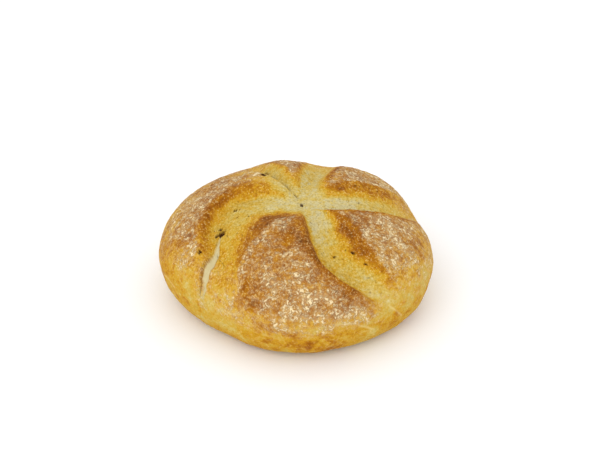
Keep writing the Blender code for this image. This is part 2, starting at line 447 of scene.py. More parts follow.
@dataclass
class RollForm:
    """The shaped dough: a dome, a skirt and a flat base, with the star pressed into its top.

    The star's and the outline's places are of their middles, and an outline wave is its count,
    its share of the radius and its crest's bearing. A pair of lengths is where something starts
    and where it is whole: by arc, or from the girth for lobe_fade.
    """

    girth_radius: float = 50.9 * MM
    girth_height: float = 16.0 * MM
    crown_height: float = 44.8 * MM
    base_radius: float = 37.0 * MM
    dome_power: float = 2.05
    skirt_power: float = 2.3
    star_x: float = 2.4 * MM
    star_y: float = -1.6 * MM
    outline_x: float = 0.7 * MM
    outline_y: float = 1.1 * MM
    outline_waves: tuple[tuple[int, float, float], ...] = (
        (2, 0.022, -28.0 * DEG),
        (3, 0.013, 51.5 * DEG),
        (4, 0.004, -12.0 * DEG),
        (5, 0.015, -21.5 * DEG),
    )
    star_depth: float = 5.0 * MM
    star_edge: float = 24.0 * MM
    deepest: float = 6.5 * MM
    lobe_puff: float = 1.2 * MM
    lobe_rounding: float = 6.0 * MM
    lip_roll: float = 0.8 * MM
    lip_roll_width: float = 7.0 * MM
    ridge_roll: float = 0.4 * MM
    ridge_roll_width: float = 1.8 * MM
    roll_start: tuple[float, float] = (6.0 * MM, 16.0 * MM)
    lobe_fade: tuple[float, float] = (-8.0 * MM, 6.0 * MM)
    arm_shallow: float = 0.3
    arm_deepened: float = 20.0 * MM
    rise_power: float = 1.15
    star_middle: tuple[float, float] = (6.0 * MM, 13.0 * MM)
    profile_steps: int = 400

    def __post_init__(self) -> None:
        """Work out the section from the crown to the middle of the base, read by arc.

        The dome is r = R sin(t)^(2/p), z = girth + rise cos(t), and the skirt is the same kind of
        curve turned over, from the girth in to the base's edge.
        """
        quarter = np.linspace(0.0, math.pi / 2.0, self.profile_steps)
        dome_r = self.girth_radius * np.sin(quarter) ** (2.0 / self.dome_power)
        dome_z = self.girth_height + (self.crown_height - self.girth_height) * np.cos(quarter)
        overhang = self.girth_radius - self.base_radius
        skirt_r = self.base_radius + overhang * np.cos(quarter) ** (2.0 / self.skirt_power)
        skirt_z = self.girth_height * (1.0 - np.sin(quarter) ** (2.0 / self.skirt_power))
        self.section_radius = np.concatenate([dome_r, skirt_r[1:], [0.0]])
        self.section_height = np.concatenate([dome_z, skirt_z[1:], [0.0]])
        steps = np.hypot(np.diff(self.section_radius), np.diff(self.section_height))
        self.section_arc = np.concatenate([[0.0], np.cumsum(steps)])
        self.girth_arc = self.section_arc[self.profile_steps - 1]
        self.base_arc = self.section_arc[-2]
        self.middle_arc = self.section_arc[-1]
        out = -np.gradient(self.section_height, self.section_arc)
        up = np.gradient(self.section_radius, self.section_arc)
        self.section_out = out / np.hypot(out, up)
        self.section_up = up / np.hypot(out, up)

    def lip_bearings(self, arc: np.ndarray) -> np.ndarray:
        """Bearing of each arm's lip at the arcs given, one row an arm."""
        return np.stack([curve_through(arm.lip, arc / MM) for arm in ARMS]) * DEG

    def arm_place(self, arm: Arm, bearing: np.ndarray, arc: np.ndarray, radius: np.ndarray) -> ArmPlace:
        """Place the points by one arm.

        A distance past the lip is the turn from the lip's bearing times the ring's radius.

        Args:
            arm: the arm.
            bearing: bearings of the points.
            arc: arcs of the points.
            radius: radii of the points' rings.

        Returns:
            The points' places by that arm.
        """
        lip = curve_through(arm.lip, arc / MM) * DEG
        ridge = curve_through(arm.ridge, arc / MM) * DEG
        ring = np.maximum(radius, 0.01 * MM)
        width = (ridge - lip) % TURN * ring
        return ArmPlace(
            arm=arm,
            across=turn_from(bearing, lip) * ring,
            wall=np.minimum(arm.wall, arm.wall_share * width),
            width=width,
            whole=1.0 - ease(arm.fades[0], arm.fades[1], arc),
        )

    def place(self, arc: np.ndarray, bearing: np.ndarray) -> Place:
        """Place points on the smooth dome, whose outline is a circle with a few low waves.

        Args:
            arc: arcs of the points.
            bearing: bearings of the points.

        Returns:
            The points' places, with the way out of the dome at each.
        """
        radius = np.interp(arc, self.section_arc, self.section_radius)
        height = np.interp(arc, self.section_arc, self.section_height)
        outward = ease(0.0, self.girth_radius, radius)
        wave = np.zeros_like(arc)
        for count, share, crest in self.outline_waves:
            wave += share * np.cos(count * (bearing - crest))
        reach = radius * (1.0 + wave * outward)
        cosine = np.cos(bearing)
        sine = np.sin(bearing)
        middle_x = between(self.star_x, self.outline_x, outward)
        middle_y = between(self.star_y, self.outline_y, outward)
        out = np.interp(arc, self.section_arc, self.section_out)
        up = np.interp(arc, self.section_arc, self.section_up)
        return Place(
            arc=arc,
            bearing=bearing,
            radius=radius,
            smooth=np.stack([middle_x + reach * cosine, middle_y + reach * sine, height], axis=-1),
            out=np.stack([out * cosine, out * sine, up], axis=-1),
            arms=[self.arm_place(arm, bearing, arc, radius) for arm in ARMS],
        )

    def star_height(self, place: Place) -> np.ndarray:
        """Height of the lobes and arms above the smooth dome.

        The arms and the star's hollow are merged as 1 - product(1 - share), so that they run
        into each other without a step, and what lies between them is raised into lobes.

        Args:
            place: where the points lie.

        Returns:
            One height a point, below 0 in the arms.
        """
        arc = place.arc
        standing = np.ones_like(arc)
        nearest = np.full_like(arc, self.girth_radius)
        rolled = np.zeros_like(arc)
        deepened = between(self.arm_shallow, 1.0, ease(0.0, self.arm_deepened, arc))
        for by in place.arms:
            drop = ease(0.0, 1.0, by.across / by.wall)
            climb = np.clip(by.climb(by.across), 0.0, 1.0)
            rise = np.cos(climb * math.pi / 2.0) ** self.rise_power
            section = np.where(by.across < by.wall, drop, rise)
            standing *= 1.0 - section * by.whole * deepened * by.arm.depth / self.deepest
            away = np.maximum(-by.across, by.across - by.width)
            nearest = np.minimum(nearest, np.maximum(away, 0.0))
            lip = self.lip_roll * np.exp(np.minimum(by.across, 0.0) / self.lip_roll_width)
            edge = self.ridge_roll * bump(0.0, self.ridge_roll_width, by.across - by.width)
            rolled += by.whole * (lip * (1.0 - drop) + edge) * ease(*self.roll_start, arc)
        standing *= 1.0 - (1.0 - ease(0.0, self.star_edge, arc)) * self.star_depth / self.deepest
        on_top = 1.0 - ease(self.girth_arc + self.lobe_fade[0], self.girth_arc + self.lobe_fade[1], arc)
        puff = self.lobe_puff * (1.0 - np.exp(-nearest / self.lobe_rounding))
        return (puff + rolled) * on_top - self.deepest * (1.0 - standing)


@dataclass
class CrustGrid:
    """The crust's mesh of rings round the star, whose columns run out along the lips.

    A ring has lobe_columns columns in each lobe, twice as many past each of the doublings, and
    half as many again under the base. Columns lie a little closer just past each lip.
    """

    form: RollForm
    ring_step: float = 0.49 * MM
    base_step: float = 2.6 * MM
    lobe_columns: int = 15
    doublings: tuple[float, ...] = (6.5 * MM, 13.0 * MM, 26.0 * MM)
    bunching: float = 1.12

    def rings(self) -> tuple[np.ndarray, np.ndarray]:
        """Lay out the rings between the two poles.

        Returns:
            Each ring's arc, and its columns in each lobe.
        """
        side = np.arange(self.ring_step, self.form.base_arc, self.ring_step)
        level = np.searchsorted(self.doublings, side)
        reach = self.form.middle_arc - self.form.base_arc
        base = self.form.base_arc + np.arange(0.0, reach - self.base_step / 2.0, self.base_step)
        most = len(self.doublings)
        lower = np.clip(most - 1 - np.arange(len(base)) // 4, 0, most)
        return np.concatenate([side, base]), self.lobe_columns * 2 ** np.concatenate([level, lower])

    def columns(self, arcs: np.ndarray, counts: np.ndarray) -> tuple[np.ndarray, np.ndarray]:
        """Work out every ring point's arc and bearing.

        Between two lips a column keeps its share of the gap: step / count to the power bunching.

        Args:
            arcs: the rings' arcs.
            counts: the rings' columns in each lobe.

        Returns:
            The points' arcs and bearings, ring after ring.
        """
        per_ring = counts * len(ARMS)
        arc = np.repeat(arcs, per_ring)
        count = np.repeat(counts, per_ring)
        start = np.repeat(np.cumsum(per_ring) - per_ring, per_ring)
        lobe, step = np.divmod(np.arange(len(arc)) - start, count)
        lips = self.form.lip_bearings(arc)
        gaps = (np.roll(lips, -1, axis=0) - lips) % TURN
        here = np.arange(len(arc))
        return arc, lips[lobe, here] + gaps[lobe, here] * (step / count) ** self.bunching

    def band(self, first: int, count: int, nxt: int, next_count: int) -> tuple[np.ndarray, np.ndarray]:
        """Faces between two rings, whose counts are equal or a factor of two apart.

        Args:
            first: index of the upper ring's first point.
            count: points in the upper ring.
            nxt: index of the lower ring's first point.
            next_count: points in the lower ring.

        Returns:
            Rows of four corners, and rows of three.
        """
        few = min(count, next_count)
        a = np.arange(few)
        b = (a + 1) % few
        none = np.empty((0, 3), int)
        if count == next_count:
            return np.stack([first + a, nxt + a, nxt + b, first + b], axis=1), none
        if next_count > count:
            fine = [nxt + 2 * a, nxt + 2 * a + 1, nxt + 2 * b]
            parts = [
                (first + a, fine[0], fine[1]),
                (first + a, fine[1], first + b),
                (first + b, fine[1], fine[2]),
            ]
        else:
            fine = [first + 2 * a, first + 2 * a + 1, first + 2 * b]
            parts = [
                (nxt + a, fine[1], fine[0]),
                (nxt + a, nxt + b, fine[1]),
                (nxt + b, fine[2], fine[1]),
            ]
        return np.empty((0, 4), int), np.concatenate([np.stack(part, axis=1) for part in parts])

    def build(self) -> tuple[np.ndarray, np.ndarray, np.ndarray, np.ndarray]:
        """Lay out the whole closed surface, with a fan of triangles at each pole.

        Returns:
            The points' arcs and bearings, then rows of four corners and rows of three.
        """
        arcs, counts = self.rings()
        arc, bearing = self.columns(arcs, counts)
        per_ring = counts * len(ARMS)
        firsts = np.cumsum(per_ring) - per_ring
        quads = []
        triangles = []
        for i in range(len(arcs) - 1):
            four, three = self.band(firsts[i], per_ring[i], firsts[i + 1], per_ring[i + 1])
            quads.append(four)
            triangles.append(three)
        top = len(arc)
        a = np.arange(per_ring[0])
        triangles.append(np.stack([np.full_like(a, top), a, np.roll(a, -1)], axis=1))
        a = firsts[-1] + np.arange(per_ring[-1])
        triangles.append(np.stack([np.full_like(a, top + 1), np.roll(a, -1), a], axis=1))
        arc = np.append(arc, [0.0, self.form.middle_arc])
        bearing = np.append(bearing, [0.0, 0.0])
        return arc, bearing, np.concatenate(quads), np.concatenate(triangles)


def mesh_from_arrays(name: str, points: np.ndarray, faces: list[np.ndarray]) -> bpy.types.Mesh:
    """Put whole arrays of points and faces into a new mesh.

    Args:
        name: the mesh's name.
        points: rows of x, y and z.
        faces: arrays of corner indices, each with one face a row.

    Returns:
        The mesh, shaded smooth.
    """
    mesh = bpy.data.meshes.new(name)
    sizes = np.concatenate([np.full(len(rows), rows.shape[1]) for rows in faces])
    corners = np.concatenate([rows.ravel() for rows in faces])
    mesh.vertices.add(len(points))
    mesh.vertices.foreach_set("co", points.astype(np.float32).ravel())
    mesh.loops.add(len(corners))
    mesh.loops.foreach_set("vertex_index", corners.astype(np.int32))
    mesh.polygons.add(len(sizes))
    mesh.polygons.foreach_set("loop_start", (np.cumsum(sizes) - sizes).astype(np.int32))
    mesh.update(calc_edges=True)
    mesh.validate()
    mesh.shade_smooth()
    return mesh


@dataclass(frozen=True)
class Crack:
    """A split in the crust: its line and half width by arc in mm, and how it is cut."""

    line: Curve
    half_width: Curve
    depth: float
    edge: float
    raised: float

    def shape(self, place: Place, ragged: np.ndarray) -> tuple[np.ndarray, np.ndarray]:
        """Work out a sunken strip with raised edges.

        How far a point is inside the strip is (half width - |distance from the line|) / edge.
        The floor sinks with an eased climb of that, and a bell of it makes the brim. Both fade
        where the strip is narrower than a quarter of a millimetre.

        Args:
            place: where the points lie.
            ragged: how far the strip's edges wander at each point.

        Returns:
            Height and share of bare floor.
        """
        line = curve_through(self.line, place.arc / MM) * DEG
        across = turn_from(place.bearing, line) * place.radius
        half = np.interp(place.arc / MM, *np.array(self.half_width).T, left=0.0, right=0.0) * MM
        present = ease(0.0, 0.25 * MM, half)
        inside = (half - np.abs(across + ragged)) / self.edge
        bare = ease(-0.6, 0.9, inside) * present
        brim = bump(-1.2, 1.1, inside) * present
        return self.raised * brim - self.depth * bare, bare


@dataclass(frozen=True)
class Pit:
    """A small hole in the crust: where it is, in mm and degrees, its radius in mm and its depth."""

    arc: float
    bearing: float
    radius: float
    depth: float = 0.8 * MM


# Holes that have opened in the stretched dough, the widest at the head of the tear.
PITS = (
    Pit(35.0, 207.0, 1.5, 1.3 * MM),
    Pit(36.8, 205.6, 0.9, 1.0 * MM),
    Pit(33.6, 202.8, 0.55),
    Pit(34.6, 201.2, 0.4),
    Pit(46.3, 212.6, 0.55),
    Pit(25.4, 185.0, 0.6),
    Pit(22.0, 203.0, 0.5),
    Pit(22.4, 298.2, 0.40, 0.5 * MM),
    Pit(37.0, 297.7, 0.35, 0.5 * MM),
    Pit(36.7, 304.5, 0.45, 0.6 * MM),
    Pit(43.2, 307.7, 0.45, 0.6 * MM),
    Pit(47.2, 302.8, 0.40, 0.5 * MM),
    Pit(48.5, 306.6, 0.35, 0.5 * MM),
    Pit(34.8, 293.5, 0.35, 0.5 * MM),
    Pit(20.9, 131.7, 0.9),
    Pit(0.7, 268.0, 0.85, 1.2 * MM),
    Pit(24.0, 24.0, 0.5),
)


@dataclass
class Tear:
    """Where the widest arm has torn at the foot of its wall and pale inner dough shows, with shadow painted
    dark along a thin crack beside the split and under its fold.
    """

    split: Crack = Crack(
        line=(
            (36, 208.8), (40, 213.5), (43, 217.0), (48, 219.6), (53, 221.6), (57, 223.2), (63, 224.5),
        ),
        half_width=(
            (36, 0.2), (40, 0.8), (43, 1.5), (47, 1.35), (52, 1.1), (56, 0.95), (60, 0.55), (63, 0.0),
        ),
        depth=0.55 * MM,
        edge=0.45 * MM,
        raised=0.2 * MM,
    )
    shadowed_seam: Crack = Crack(
        line=(
            (36.5, 207.8), (40, 211.4), (43.5, 214.6), (47, 217.2), (54.3, 220.4), (60.5, 222.2), (64, 222.5),
        ),
        half_width=(
            (36.5, 0.16), (40, 0.20), (44, 0.14), (48, 0.2), (53, 0.32), (58, 0.30), (63, 0.0),
        ),
        depth=0.7 * MM,
        edge=0.35 * MM,
        raised=0.1 * MM,
    )
    fold: Crack = Crack(
        line=((43.4, 217.5), (44.6, 220.4), (45.6, 225.3), (46.6, 229)),
        half_width=((43.4, 0.15), (44.5, 0.4), (45.8, 0.35), (47, 0.0)),
        depth=0.5 * MM,
        edge=0.4 * MM,
        raised=0.2 * MM,
    )
    ragged: float = 0.35 * MM
    ragged_size: float = 2.0 * MM
    thin_ragged: float = 0.6
    # How dark the shadow painted in the thin crack and under the fold is.
    shadow_darkness: float = 0.55

    def shape(self, place: Place, noise: DoughNoise) -> tuple[np.ndarray, np.ndarray, np.ndarray]:
        """Work out the split, a thin crack along it and the fold beside it, with shadow painted dark in the
        crack and under the fold.

        Args:
            place: where the points lie.
            noise: what makes the edges ragged.

        Returns:
            Height, share of bare dough and how dark the painted shadow is at each point.
        """
        ragged = self.ragged * noise.layered(place.smooth, self.ragged_size, 2)
        height, bare = self.split.shape(place, ragged)
        seam_height, shadowed_seam = self.shadowed_seam.shape(place, self.thin_ragged * ragged)
        fold_height, fold = self.fold.shape(place, self.thin_ragged * ragged)
        dark = self.shadow_darkness * np.maximum(shadowed_seam, fold)
        return height + seam_height + fold_height, bare * (1.0 - shadowed_seam), dark


@dataclass(frozen=True)
class Fold:
    """A thin pale fold where the skin has stretched: its line, in mm and degrees, and its width."""

    line: Curve
    half_width: float = 0.35 * MM

    def shape(self, place: Place, ragged: np.ndarray) -> np.ndarray:
        """Work out the fold's share at each point.

        It is a bell over the distance from the nearest straight piece of the line, measured
        away from the star along the arc and round it along the ring.

        Args:
            place: where the points lie.
            ragged: how much to add to the distances.

        Returns:
            The share from 0 to 1.
        """
        arcs, bearings = np.array(self.line).T * np.array([[MM], [DEG]])
        away = np.full_like(place.arc, np.inf)
        for start in range(len(arcs) - 1):
            along = arcs[start + 1] - arcs[start]
            sideways = (bearings[start + 1] - bearings[start]) * place.radius
            gone = place.arc - arcs[start]
            aside = turn_from(place.bearing, bearings[start]) * place.radius
            length = np.maximum(along**2 + sideways**2, np.finfo(float).tiny)
            share = np.clip((gone * along + aside * sideways) / length, 0.0, 1.0)
            away = np.minimum(away, np.hypot(gone - share * along, aside - share * sideways))
        return bump(0.0, self.half_width, away + ragged)


FOLDS = (
    Fold(line=((62.7, 283), (62.0, 286), (62.1, 290), (63.5, 294), (66.3, 298.5), (69.2, 303))),
    Fold(line=((61.7, 311), (64.7, 314), (68.9, 318))),
    Fold(line=((62.4, 237), (62.4, 241), (61.2, 244), (58.4, 247), (55.2, 248))),
    Fold(line=((61.1, 233), (62.6, 236), (63.9, 239))),
    Fold(line=((66.0, 190), (63.5, 195), (63.0, 201), (64.5, 206))),
    Fold(line=((63.0, 150), (61.0, 156), (61.5, 163), (64.0, 168))),
    Fold(line=((58.0, 95), (60.5, 101), (61.0, 108))),
    Fold(line=((60.0, 20), (62.5, 26), (66.0, 31), (68.0, 38))),
    Fold(line=((64.0, 343), (61.5, 349), (62.0, 356))),
)


@dataclass
class Browning:
    """How far each point of the crust is baked, from 0, pale dough, to 1, dark brown."""

    form: RollForm
    wide: DoughNoise
    fine: DoughNoise
    gold: float = 0.46
    star_bake: float = 0.08
    side_bake: float = 0.42
    side_streak: float = 0.12
    streak_draw: tuple[float, float, float] = (0.45, 0.45, 1.5)
    side_start: tuple[float, float] = (-11.0 * MM, 4.0 * MM)
    foot_start: tuple[float, float] = (10.0 * MM, 20.0 * MM)
    lip_start: tuple[float, float] = (8.0 * MM, 15.0 * MM)
    lip_strength: float = 0.9
    base_bake: float = 0.64
    base_uneven: float = 0.07
    base_start: tuple[float, float] = (-3.0 * MM, 1.0 * MM)
    uneven: float = 0.05
    big_lumps: float = 9.0 * MM
    lumps: float = 5.0 * MM

    def streaks(self, place: Place) -> np.ndarray:
        """Level streaks round the sides: noise read at points that are drawn together sideways."""
        return self.wide.layered(place.smooth * np.array(self.streak_draw), self.big_lumps, 4, 0.65)

    def lobe_bake(self, place: Place, lobe_share: np.ndarray) -> np.ndarray:
        """Bake of the lobes' skin, and of the skirt below them."""
        arc = place.arc
        skin = sum(share * curve_through(lobe.bake, arc / MM) for lobe, share in zip(LOBES, lobe_share))
        side = self.side_bake + self.side_streak * self.streaks(place)
        bake = between(skin, side, ease(*self.side_start, arc - self.form.girth_arc))
        for patch in PATCHES:
            bake += patch.bake * near(place, patch)
        return bake

    def arm_bake(self, by: ArmPlace, across: np.ndarray, arc: np.ndarray) -> tuple[np.ndarray, np.ndarray]:
        """Bake inside one arm: gold at the wall's foot, pale on the floor, brown up to the ridge.

        Args:
            by: where the points lie by the arm.
            across: their distance past the lip, with the colour's own wander.
            arc: their arcs.

        Returns:
            The bake, and how far it counts at each point.
        """
        floor = curve_through(by.arm.floor_bake, arc / MM)
        start = curve_through(by.arm.slope_start, arc / MM)
        slope = curve_through(by.arm.slope_bake, arc / MM)
        climb = by.climb(across)
        bake = between(floor, self.gold, ease(-0.22, 0.0, climb - start))
        bake = between(bake, slope, ease(-0.04, 0.17, climb - start))
        down = across / by.wall - by.arm.lip_end
        foot = 1.0 - ease(0.0, 0.5, down)
        bake = between(bake, by.arm.foot_bake, foot * ease(*self.foot_start, arc))
        inside = ease(-0.30, 0.10, down) * (1.0 - ease(0.0, 1.4 * MM, across - by.width))
        return bake, inside

    def read(self, place: Place, lobe_share: np.ndarray) -> np.ndarray:
        """Bake of every point of the crust.

        Args:
            place: where the points lie.
            lobe_share: how far each point belongs to each lobe.

        Returns:
            The bake from 0 to 1.
        """
        arc = place.arc
        smooth = place.smooth
        bake = self.lobe_bake(place, lobe_share)
        wander = 0.45 * MM * self.wide.read(smooth, self.lumps)
        wander += 0.4 * MM * self.fine.read(smooth, 1.7 * MM)
        for by in place.arms:
            across = by.across + wander
            ending = 1.0 - ease(by.arm.fades[0] + 4 * MM, by.arm.fades[1] + 2 * MM, arc)
            lip = ease(-1.5 * by.arm.lip_reach, -0.5 * by.arm.lip_reach, across)
            down = across / by.wall - by.arm.lip_end
            lip *= (1.0 - ease(-0.25, 0.25, down)) * ease(*self.lip_start, arc)
            bake = between(bake, curve_through(by.arm.lip_bake, arc / MM), lip * ending * self.lip_strength)
            inner, inside = self.arm_bake(by, across, arc)
            bake = between(bake, inner, inside * ending)
        star = 1.0 - ease(*self.form.star_middle, arc + 2.0 * wander)
        bake = between(bake, self.star_bake, star)
        bake += self.uneven * self.wide.layered(smooth, self.lumps, 3, 0.8)
        base = ease(*self.base_start, arc - self.form.base_arc)
        underside = self.base_bake + self.base_uneven * self.wide.layered(smooth, self.big_lumps, 3)
        return np.clip(between(bake, underside, base), 0.0, 1.0)


def near(place: Place, patch: Patch) -> np.ndarray:
    """Share of a patch at each point, a bell over the distance along the crust."""
    sideways = turn_from(place.bearing, patch.bearing * DEG) * place.radius / (patch.wide * MM)
    away = (place.arc - patch.arc * MM) / (patch.long * MM)
    return bump(0.0, 1.0, np.hypot(away, sideways))


@dataclass
class Dusting:
    """The flour on the lobes: how thickly it lies at each point, from 0 to 1."""

    form: RollForm
    wide: DoughNoise
    line: float = 0.30
    line_middle: float = 1.0 * MM
    line_width: float = 1.3 * MM
    uneven: float = 0.40
    uneven_size: float = 9.0 * MM
    start: tuple[float, float] = (11.0 * MM, 15.0 * MM)

    def amount(self, place: Place, lobe_share: np.ndarray) -> np.ndarray:
        """Work out how thickly each point is floured.

        Args:
            place: where the points lie.
            lobe_share: how far each point belongs to each lobe.

        Returns:
            The flour, thicker in a line along the ridges and none in the arms.
        """
        arc = place.arc
        dusts = [curve_through(lobe.dust, arc / MM) for lobe in LOBES]
        amount = sum(share * dust for dust, share in zip(dusts, lobe_share))
        uneven = self.wide.layered(place.smooth + 0.05, self.uneven_size, 3, 0.7)
        amount = amount * (1.0 + self.uneven * uneven)
        for patch in PATCHES:
            amount += patch.dust * near(place, patch)
        wander = 0.7 * MM * self.wide.layered(place.smooth, 4 * MM, 2, 0.7)
        edge = np.zeros_like(arc)
        outside = np.ones_like(arc)
        for by in place.arms:
            across = by.across + wander
            ending = 1.0 - ease(by.arm.fades[0] + 4 * MM, by.arm.fades[1], arc)
            inside = ease(-1.3 * by.arm.lip_reach, -0.2 * by.arm.lip_reach, across)
            inside *= 1.0 - ease(-0.4 * MM, 0.4 * MM, across - by.width)
            outside *= 1.0 - inside * ending
            edge += self.line * bump(self.line_middle, self.line_width, across - by.width) * ending
        return np.clip((amount + edge) * outside * ease(*self.start, arc + wander), 0.0, 1.0)


@dataclass
class Crust:
    """The baked crust: the shaped dough with its grain, pores, tear, browning and flour."""

    form: RollForm = field(default_factory=RollForm)
    tear: Tear = field(default_factory=Tear)
    lumps: float = 0.35 * MM
    lump_size: float = 15.0 * MM
    grain: float = 0.10 * MM
    grain_size: float = 3.6 * MM
    lobe_blend: float = 2.5 * MM
    flour_height: float = 0.12 * MM
    clump_size: float = 1.6 * MM
    fold_height: float = 0.10 * MM
    pore_cell: float = 3.4 * MM
    pore_radius: tuple[float, float] = (0.35 * MM, 0.70 * MM)
    pore_share: float = 0.20
    pore_depth: float = 0.4 * MM
    pore_end: tuple[float, float] = (45.0 * MM, 60.0 * MM)
    crease_depth: float = 0.5 * MM
    crease_width: float = 0.45 * MM
    crease_ends: tuple[float, float, float, float] = (3.0 * MM, 7.0 * MM, 28.0 * MM, 36.0 * MM)
    dimple: float = 0.25 * MM
    strand_height: float = 0.07 * MM
    strand_width: float = 0.9 * MM
    strand_length: float = 4.0 * MM

    def __post_init__(self) -> None:
        """Draw the noises that every part of the crust shares."""
        self.wide = DoughNoise(11)
        self.fine = DoughNoise(23)
        self.spots = SpotNoise(37)

    def lobe_share(self, place: Place) -> np.ndarray:
        """How far each point belongs to each lobe, one row a lobe, together 1."""
        soft = self.lobe_blend
        rows = []
        for by, following in zip(place.arms, place.arms[1:] + place.arms[:1]):
            past = ease(-soft, soft, by.across)
            before = 1.0 - ease(-soft, soft, following.across)
            rows.append(past * before + 1e-6)
        shares = np.stack(rows)
        return shares / shares.sum(axis=0)

    def arm_share(self, place: Place) -> np.ndarray:
        """How far inside the star's arms each point is, from 0 on a lobe to 1."""
        outside = np.ones_like(place.arc)
        for by in place.arms:
            inside = ease(0.5, 1.2, by.across / by.wall)
            inside *= 1.0 - ease(-2.0 * MM, 0.3 * MM, by.across - by.width)
            outside *= 1.0 - inside * by.whole
        return 1.0 - outside * ease(*self.form.star_middle, place.arc)

    def grain_height(self, place: Place, in_arm: np.ndarray) -> np.ndarray:
        """Height of the crust's lumps and grain."""
        lumps = self.lumps * self.wide.layered(place.smooth, self.lump_size, 2)
        grain = self.grain * self.wide.layered(place.smooth, self.grain_size, 3, 0.7)
        return lumps + grain * (1.0 - 0.3 * in_arm)

    def strands(self, place: Place) -> np.ndarray:
        """Place the points on the dough's strands, drawn out along the arms.

        Args:
            place: where the points lie.

        Returns:
            Rows of strands past the nearest arm's lip, lengths from the star, and the arm's number
            times a step that keeps the arms' noises apart.
        """
        gaps = np.stack([np.abs(by.across - 0.5 * by.width) - 0.5 * by.width for by in place.arms])
        nearest = gaps.argmin(axis=0)
        across = np.choose(nearest, [by.across for by in place.arms])
        return np.column_stack((across / self.strand_width, place.arc / self.strand_length, 3.7 * nearest))

    def pits(self, place: Place) -> tuple[np.ndarray, np.ndarray]:
        """Work out the holes that have opened, each a bell of a ragged distance.

        Args:
            place: where the points lie.

        Returns:
            Depth, and how far shade is painted dark in the holes, at each point.
        """
        depth = np.zeros_like(place.arc)
        dark = np.zeros_like(place.arc)
        ragged = 0.40 * MM * self.fine.layered(place.smooth, 1.4 * MM, 2, 0.8)
        for pit in PITS:
            sideways = turn_from(place.bearing, pit.bearing * DEG) * place.radius
            away = np.hypot(0.8 * (place.arc - pit.arc * MM), sideways) + ragged
            reach = away / (pit.radius * MM)
            depth += pit.depth * (1.0 - ease(0.3, 1.0, reach))
            dark = np.maximum(dark, 1.0 - ease(0.75, 1.15, reach))
        return depth, dark

    def pores(self, place: Place, in_arm: np.ndarray) -> np.ndarray:
        """Open pores in the stretched dough of the arms, from 0 to 1, which are also painted dark as shade.
        """
        away, rank = self.spots.nearest(place.smooth, self.pore_cell)
        radius = between(*self.pore_radius, rank / self.pore_share % 1.0)
        pores = (1.0 - ease(0.3, 1.0, away / radius)) * (rank < self.pore_share)
        return pores * in_arm * (1.0 - ease(*self.pore_end, place.arc))

    def crease(self, place: Place) -> np.ndarray:
        """Thin grooves near the feet of the walls that have one, with shade painted dark in them, from 0 to
        1.

        A groove starts at the foot of its wall and moves up it a little away from the star. Noise
        makes it wander and breaks it up.
        """
        dark = np.zeros_like(place.arc)
        start, whole, fades, end = self.crease_ends
        wander = 0.3 * MM * self.fine.read(place.smooth, 2.5 * MM)
        patchy = ease(-0.7, 0.5, self.wide.read(place.smooth, 3.2 * MM))
        for by in place.arms:
            foot = between(1.02, 0.84, ease(8.0 * MM, 18.0 * MM, place.arc)) * by.wall
            line = bump(0.0, self.crease_width, by.across + wander - foot) * patchy
            line *= ease(start, whole, place.arc) * (1.0 - ease(fades, end, place.arc))
            # The crease's share both sinks the groove and paints shade dark in it.
            dark = np.maximum(dark, by.arm.crease * line)
        return dark

    def base_points(self, place: Place, points: np.ndarray) -> np.ndarray:
        """Flatten the underside, and dimple it upwards."""
        past_edge = place.arc - self.form.base_arc
        dimple = self.dimple * (1.0 + self.wide.layered(place.smooth, 8.0 * MM, 2))
        dimple = dimple * ease(0.0, 6.0 * MM, past_edge)
        flat = ease(-2.0 * MM, 0.0, past_edge)
        points[:, 2] = between(points[:, 2], place.smooth[:, 2] + dimple, flat)
        points[:, 2] = np.maximum(points[:, 2], 0.0)
        return points

    def low_side(self, arc: np.ndarray) -> np.ndarray:
        """How far each point is on the low sides, between the lobes' ends and the base."""
        above_base = ease(-6.0 * MM, -2.0 * MM, arc - self.form.base_arc)
        return ease(50.0 * MM, 60.0 * MM, arc) * (1.0 - above_base)

    def build(self) -> bpy.types.Object:
        """Make the crust's mesh, with its coats stored at its points.

        Returns:
            The crust's object.
        """
        arc, bearing, quads, triangles = CrustGrid(self.form).build()
        place = self.form.place(arc, bearing)
        lobe_share = self.lobe_share(place)
        in_arm = self.arm_share(place)
        flour = Dusting(self.form, self.wide).amount(place, lobe_share)
        torn_height, torn, shadowed_seam = self.tear.shape(place, self.fine)
        pit_depth, pit = self.pits(place)
        pores = self.pores(place, in_arm)
        crease = self.crease(place)
        uneven = 0.3 * MM * self.fine.read(place.smooth, 2.0 * MM)
        fold = np.maximum.reduce([one.shape(place, uneven) for one in FOLDS])
        clumps = self.fine.layered(place.smooth + 0.03, self.clump_size, 2, 0.8)
        strand = self.strands(place)
        height = self.form.star_height(place) + self.grain_height(place, in_arm)
        height += torn_height - pit_depth - self.pore_depth * pores - self.crease_depth * crease
        height += self.flour_height * flour * clumps + self.fold_height * fold
        height += self.strand_height * in_arm * self.fine.layered(strand, 1.0, 2, 0.8)
        points = self.base_points(place, place.smooth + place.out * height[:, None])
        mesh = mesh_from_arrays("bread_crust", points, [quads, triangles])
        coats = {
            Coat.BAKE: Browning(self.form, self.wide, self.fine).read(place, lobe_share),
            Coat.FLOUR: flour * (1.0 - torn),
            Coat.ARM: in_arm,
            Coat.FOLD: fold,
            Coat.SIDE: self.low_side(arc),
            Coat.TORN: torn * (1.0 - pit),
            # Painted shade: holes, pores, the tear's thin crack and fold, and creases are painted dark.
            Coat.PAINTED_SHADE: np.clip(np.maximum.reduce([pit, 0.6 * pores, shadowed_seam, crease]), 0.0, 1.0),
        }
        for coat, values in coats.items():
            layer = mesh.attributes.new(coat.value, "FLOAT", "POINT")
            layer.data.foreach_set("value", values.astype(np.float32))
        layer = mesh.attributes.new(Coat.STRAND.value, "FLOAT_VECTOR", "POINT")
        layer.data.foreach_set("vector", strand.astype(np.float32).ravel())
        crust = bpy.data.objects.new("bread_crust", mesh)
        bpy.context.scene.collection.objects.link(crust)
        return crust


